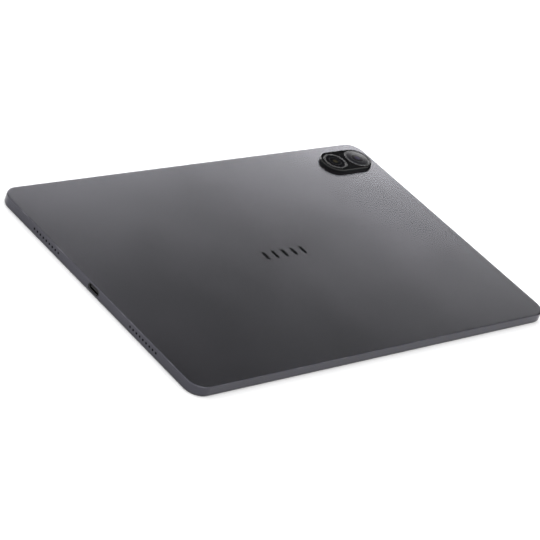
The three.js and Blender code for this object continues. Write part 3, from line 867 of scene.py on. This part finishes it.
# ---------------------------------------------------------------- charging port
# A drawn steel shell with a moulded black tongue in it. The tongue carries twelve gilt
# contacts on each face.
def bright_steel(name, streak_axis, tone):
    """Rolled or drawn steel with fine streaks along one axis."""
    finish = Finish(name, Metallic=1.0)
    squeeze = [1.0, 1.0, 1.0]
    squeeze[streak_axis] = 0.06
    streaks = finish.noise(0.12, 4, finish.stretched(*squeeze))
    stain = finish.noise(2.5, 3)
    colour = finish.mix(stain, (tone * 0.85,) * 3, (tone, tone * 1.01, tone * 1.03))
    relief = finish.bump(streaks, 0.003, 0.5)
    finish.vary(Base_Color=colour, Roughness=0.24 + streaks * 0.16 + stain * 0.06, Normal=relief)
    return finish.material


PORT_SKIN = 0.28
SHELL_BEVEL = 0.08
port_place = in_short_wall(0, PORT_Z)
port_half_height = (port_high.z - port_low.z) / 2
shell_profile = [
    (0, port_low.x + SHELL_BEVEL),
    (SHELL_BEVEL, port_low.x),
    (PORT_SKIN - SHELL_BEVEL, port_low.x),
    (PORT_SKIN, port_low.x + SHELL_BEVEL),
    (PORT_SKIN, port_high.x),
    (0, port_high.x),
]
shell_form = Form()
shell_form.moulded(
    port_high.y, port_half_height, port_half_height, shell_profile, 16, port_place, closed=True
)
shell_steel = bright_steel("port_steel", streak_axis=0, tone=0.1)
dress(shell_form.made("port_shell"), shell_steel, "case", ["usb_c_shell"])

tongue_low, tongue_high = box_mm("usb_c_tongue")
BLADE_HALF_WIDTH = 3.35
BLADE_HALF_HEIGHT = 0.35
BASE_LENGTH = 1.7
blade_profile = [
    (0.25, tongue_low.x),
    (0.08, tongue_low.x + 0.07),
    (0.0, tongue_low.x + 0.3),
    (0.0, tongue_high.x - BASE_LENGTH),
]
base_profile = [(0, tongue_high.x - BASE_LENGTH), (0, tongue_high.x)]
base_half_height = tongue_high.z - PORT_Z
tongue_form = Form()
tongue_form.moulded(BLADE_HALF_WIDTH, BLADE_HALF_HEIGHT, 0.3, blade_profile, 6, port_place)
tongue_form.moulded(
    tongue_high.y, base_half_height, base_half_height, base_profile, 14, port_place
)
dress(tongue_form.made("port_tongue"), black_plastic, "case", ["usb_c_tongue"])

CONTACT_COUNT = 12
CONTACT_PITCH = 0.5
CONTACT_HALF_WIDTH = 0.13
CONTACT_HALF_THICKNESS = 0.02
CONTACT_STAND = 0.012
contact_strip = [(0, tongue_low.x + 0.75), (0, tongue_high.x - BASE_LENGTH - 0.6)]
contacts = Form()
for side in (-1, 1):
    for i in range(CONTACT_COUNT):
        y = (i - (CONTACT_COUNT - 1) / 2) * CONTACT_PITCH
        place = in_short_wall(y, PORT_Z + side * (BLADE_HALF_HEIGHT + CONTACT_STAND))
        contacts.moulded(
            CONTACT_HALF_WIDTH, CONTACT_HALF_THICKNESS, 0.01, contact_strip, 1, place
        )


def gilt_finish():
    finish = Finish("gilt_contact", Metallic=1.0)
    wipe = finish.noise(0.2, 3, finish.stretched(0.2, 1, 1))
    colour = finish.mix(wipe, (0.72, 0.5, 0.2), (0.85, 0.62, 0.28))
    finish.vary(Base_Color=colour, Roughness=0.22 + wipe * 0.15)
    return finish.material


dress(contacts.made("port_contacts"), gilt_finish(), "case", [])


# ---------------------------------------------------------------- speakers and dust meshes
# Behind each row of holes a strip of fine woven mesh keeps dust from the loudspeaker,
# which is a sealed box of glass-filled black plastic.
THREAD_PITCH = 0.00016


def woven_mesh_finish():
    finish = Finish("woven_dust_mesh", Metallic=0.3)
    y, z = finish.axes()[1:]
    thread = 2 * math.pi / THREAD_PITCH
    across = (y * thread).sine()
    along = (z * thread).sine()
    weave = (across * along).ramp(-0.6, 0.9)
    colour = finish.mix(weave, (0.004, 0.004, 0.004), (0.035, 0.035, 0.037))
    finish.vary(Base_Color=colour, Roughness=0.5 + weave * 0.15, Normal=finish.bump(weave, 0.05))
    return finish.material


def repaint(material, nodes):
    """Gives CAD nodes that already have the right shape their material."""
    for node in nodes:
        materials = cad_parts[node].data.materials
        materials.clear()
        materials.append(material)


corners = ("left_lower", "left_upper", "right_lower", "right_upper")
repaint(woven_mesh_finish(), ["dust_mesh_" + corner for corner in corners])
repaint(black_plastic, ["speaker_" + corner for corner in corners])


# ---------------------------------------------------------------- display stack
# Behind the glass lie the liquid-crystal cell and the backlight in its silvered tray.
def panel_finish():
    finish = Finish("display_cell_glass", IOR=1.5)
    film = finish.noise(30, 2)
    colour = finish.mix(film, (0.008, 0.01, 0.014), (0.012, 0.012, 0.02))
    finish.vary(Base_Color=colour, Roughness=0.12 + film * 0.08)
    return finish.material


repaint(panel_finish(), ["display_cell"])
repaint(bright_steel("backlight_tray", streak_axis=0, tone=0.6), ["backlight_unit"])


# ---------------------------------------------------------------- circuit boards
# Glass-fibre boards with green solder mask: copper tracks raise it in fine ridges, and
# small gilt pads break through it.
def circuit_board_finish():
    finish = Finish("green_circuit_board")
    tracks = finish.cells(2.2, "DISTANCE_TO_EDGE").ramp(0.09, 0.04)
    pads = finish.cells(1.3).ramp(0.2, 0.16) * finish.noise(5, 1).ramp(0.5, 0.56)
    mask = finish.noise(12, 3)
    colour = finish.mix(mask, (0.008, 0.05, 0.024), (0.012, 0.075, 0.034))
    colour = finish.mix(tracks * 0.7, colour, (0.03, 0.13, 0.05))
    colour = finish.mix(pads, colour, (0.62, 0.43, 0.17))
    relief = finish.bump(tracks + pads, 0.03, 0.7)
    finish.vary(Base_Color=colour, Metallic=pads * 0.9, Roughness=0.42 - pads * 0.12, Normal=relief)
    return finish.material


boards = ["main_board", "port_board", "battery_board", "display_driver_board"]
repaint(circuit_board_finish(), boards)


# ---------------------------------------------------------------- chips and camera parts
# Chips, the camera module and the lens barrel are moulded in black epoxy or filled
# nylon, with a fine matt grain and small pale flecks of filler.
def moulded_epoxy():
    finish = Finish("black_epoxy", Specular_IOR_Level=0.4)
    grain = finish.noise(0.1, 3)
    fleck = finish.cells(0.4).ramp(0.12, 0.06)
    colour = finish.mix(fleck * 0.5, (0.014, 0.014, 0.015), (0.05, 0.05, 0.052))
    finish.vary(Base_Color=colour, Roughness=0.45 + grain * 0.2, Normal=finish.bump(grain, 0.01, 0.6))
    return finish.material


chips = ["processor_chip", "memory_chip", "power_chip", "storage_chip"]
repaint(moulded_epoxy(), chips + ["camera_module", "lens_barrel", "front_camera"])


def phosphor_finish():
    finish = Finish("flash_phosphor")
    grain = finish.noise(0.15, 3)
    colour = finish.mix(grain, (0.72, 0.6, 0.22), (0.82, 0.72, 0.36))
    finish.vary(Base_Color=colour, Roughness=0.4 + grain * 0.2)
    return finish.material


repaint(phosphor_finish(), ["flash_led"])


# ---------------------------------------------------------------- metal inside
# Shield cans, the port bracket and the switch lids are pressed from nickel-plated
# sheet; the screws are zinc plated, and the cover magnets are nickel-plated bars.
pressed_steel = bright_steel("pressed_steel", streak_axis=1, tone=0.58)
switches = ["power_switch", "volume_up_switch", "volume_down_switch"]
repaint(pressed_steel, ["upper_shield", "lower_shield", "port_bracket", "microphone"] + switches)
magnet_plating = bright_steel("nickel_magnet", streak_axis=0, tone=0.5)
repaint(magnet_plating, ["cover_magnet_left", "cover_magnet_right"])
screws = ["board_screw_1", "board_screw_2", "board_screw_3", "board_screw_4"]
zinc = bright_steel("zinc_screw", streak_axis=2, tone=0.45)
repaint(zinc, screws + ["port_screw_1", "port_screw_2"])


# ---------------------------------------------------------------- battery
# Two flat pouch cells in laminated aluminium and nylon film, slightly quilted where
# the film has drawn down on the stack.
def pouch_finish():
    finish = Finish("battery_pouch_film", Metallic=0.35)
    quilt = finish.noise(16, 3)
    weave = finish.noise(0.3, 2)
    colour = finish.mix(quilt, (0.035, 0.037, 0.042), (0.06, 0.062, 0.068))
    relief = finish.bump(quilt + weave * 0.1, 0.25, 0.4)
    finish.vary(Base_Color=colour, Roughness=0.3 + weave * 0.15, Normal=relief)
    return finish.material


repaint(pouch_finish(), ["battery_cell_left", "battery_cell_right"])


# ---------------------------------------------------------------- flexible circuits
# Amber polyimide film over copper tracks. The antennas are the same film with a wide
# copper pattern, and the heat spreader is a sheet of dark pressed graphite.
TRACK_PITCH = 0.0006


def flex_finish():
    finish = Finish("amber_flex", Coat_Weight=0.3, Coat_Roughness=0.15)
    x, y = finish.axes()[:2]
    track = 2 * math.pi / TRACK_PITCH
    lines = ((x + y) * track).sine().ramp(-0.2, 0.3)
    film = finish.noise(6, 3)
    colour = finish.mix(film, (0.26, 0.11, 0.018), (0.38, 0.18, 0.035))
    colour = finish.mix(lines * 0.55, colour, (0.55, 0.25, 0.1))
    finish.vary(Base_Color=colour, Metallic=lines * 0.35, Roughness=0.35 + film * 0.1)
    return finish.material


flexes = ["battery_flex", "port_flex", "display_flex", "camera_flex", "key_flex"]
repaint(flex_finish(), flexes + ["antenna_left", "antenna_right"])


def graphite_finish():
    finish = Finish("pressed_graphite", Metallic=0.5)
    flake = finish.noise(0.5, 4, finish.stretched(1, 0.3, 1))
    colour = finish.mix(flake, (0.022, 0.022, 0.024), (0.06, 0.06, 0.063))
    finish.vary(Base_Color=colour, Roughness=0.38 + flake * 0.25, Normal=finish.bump(flake, 0.01))
    return finish.material


repaint(graphite_finish(), ["heat_spreader"])
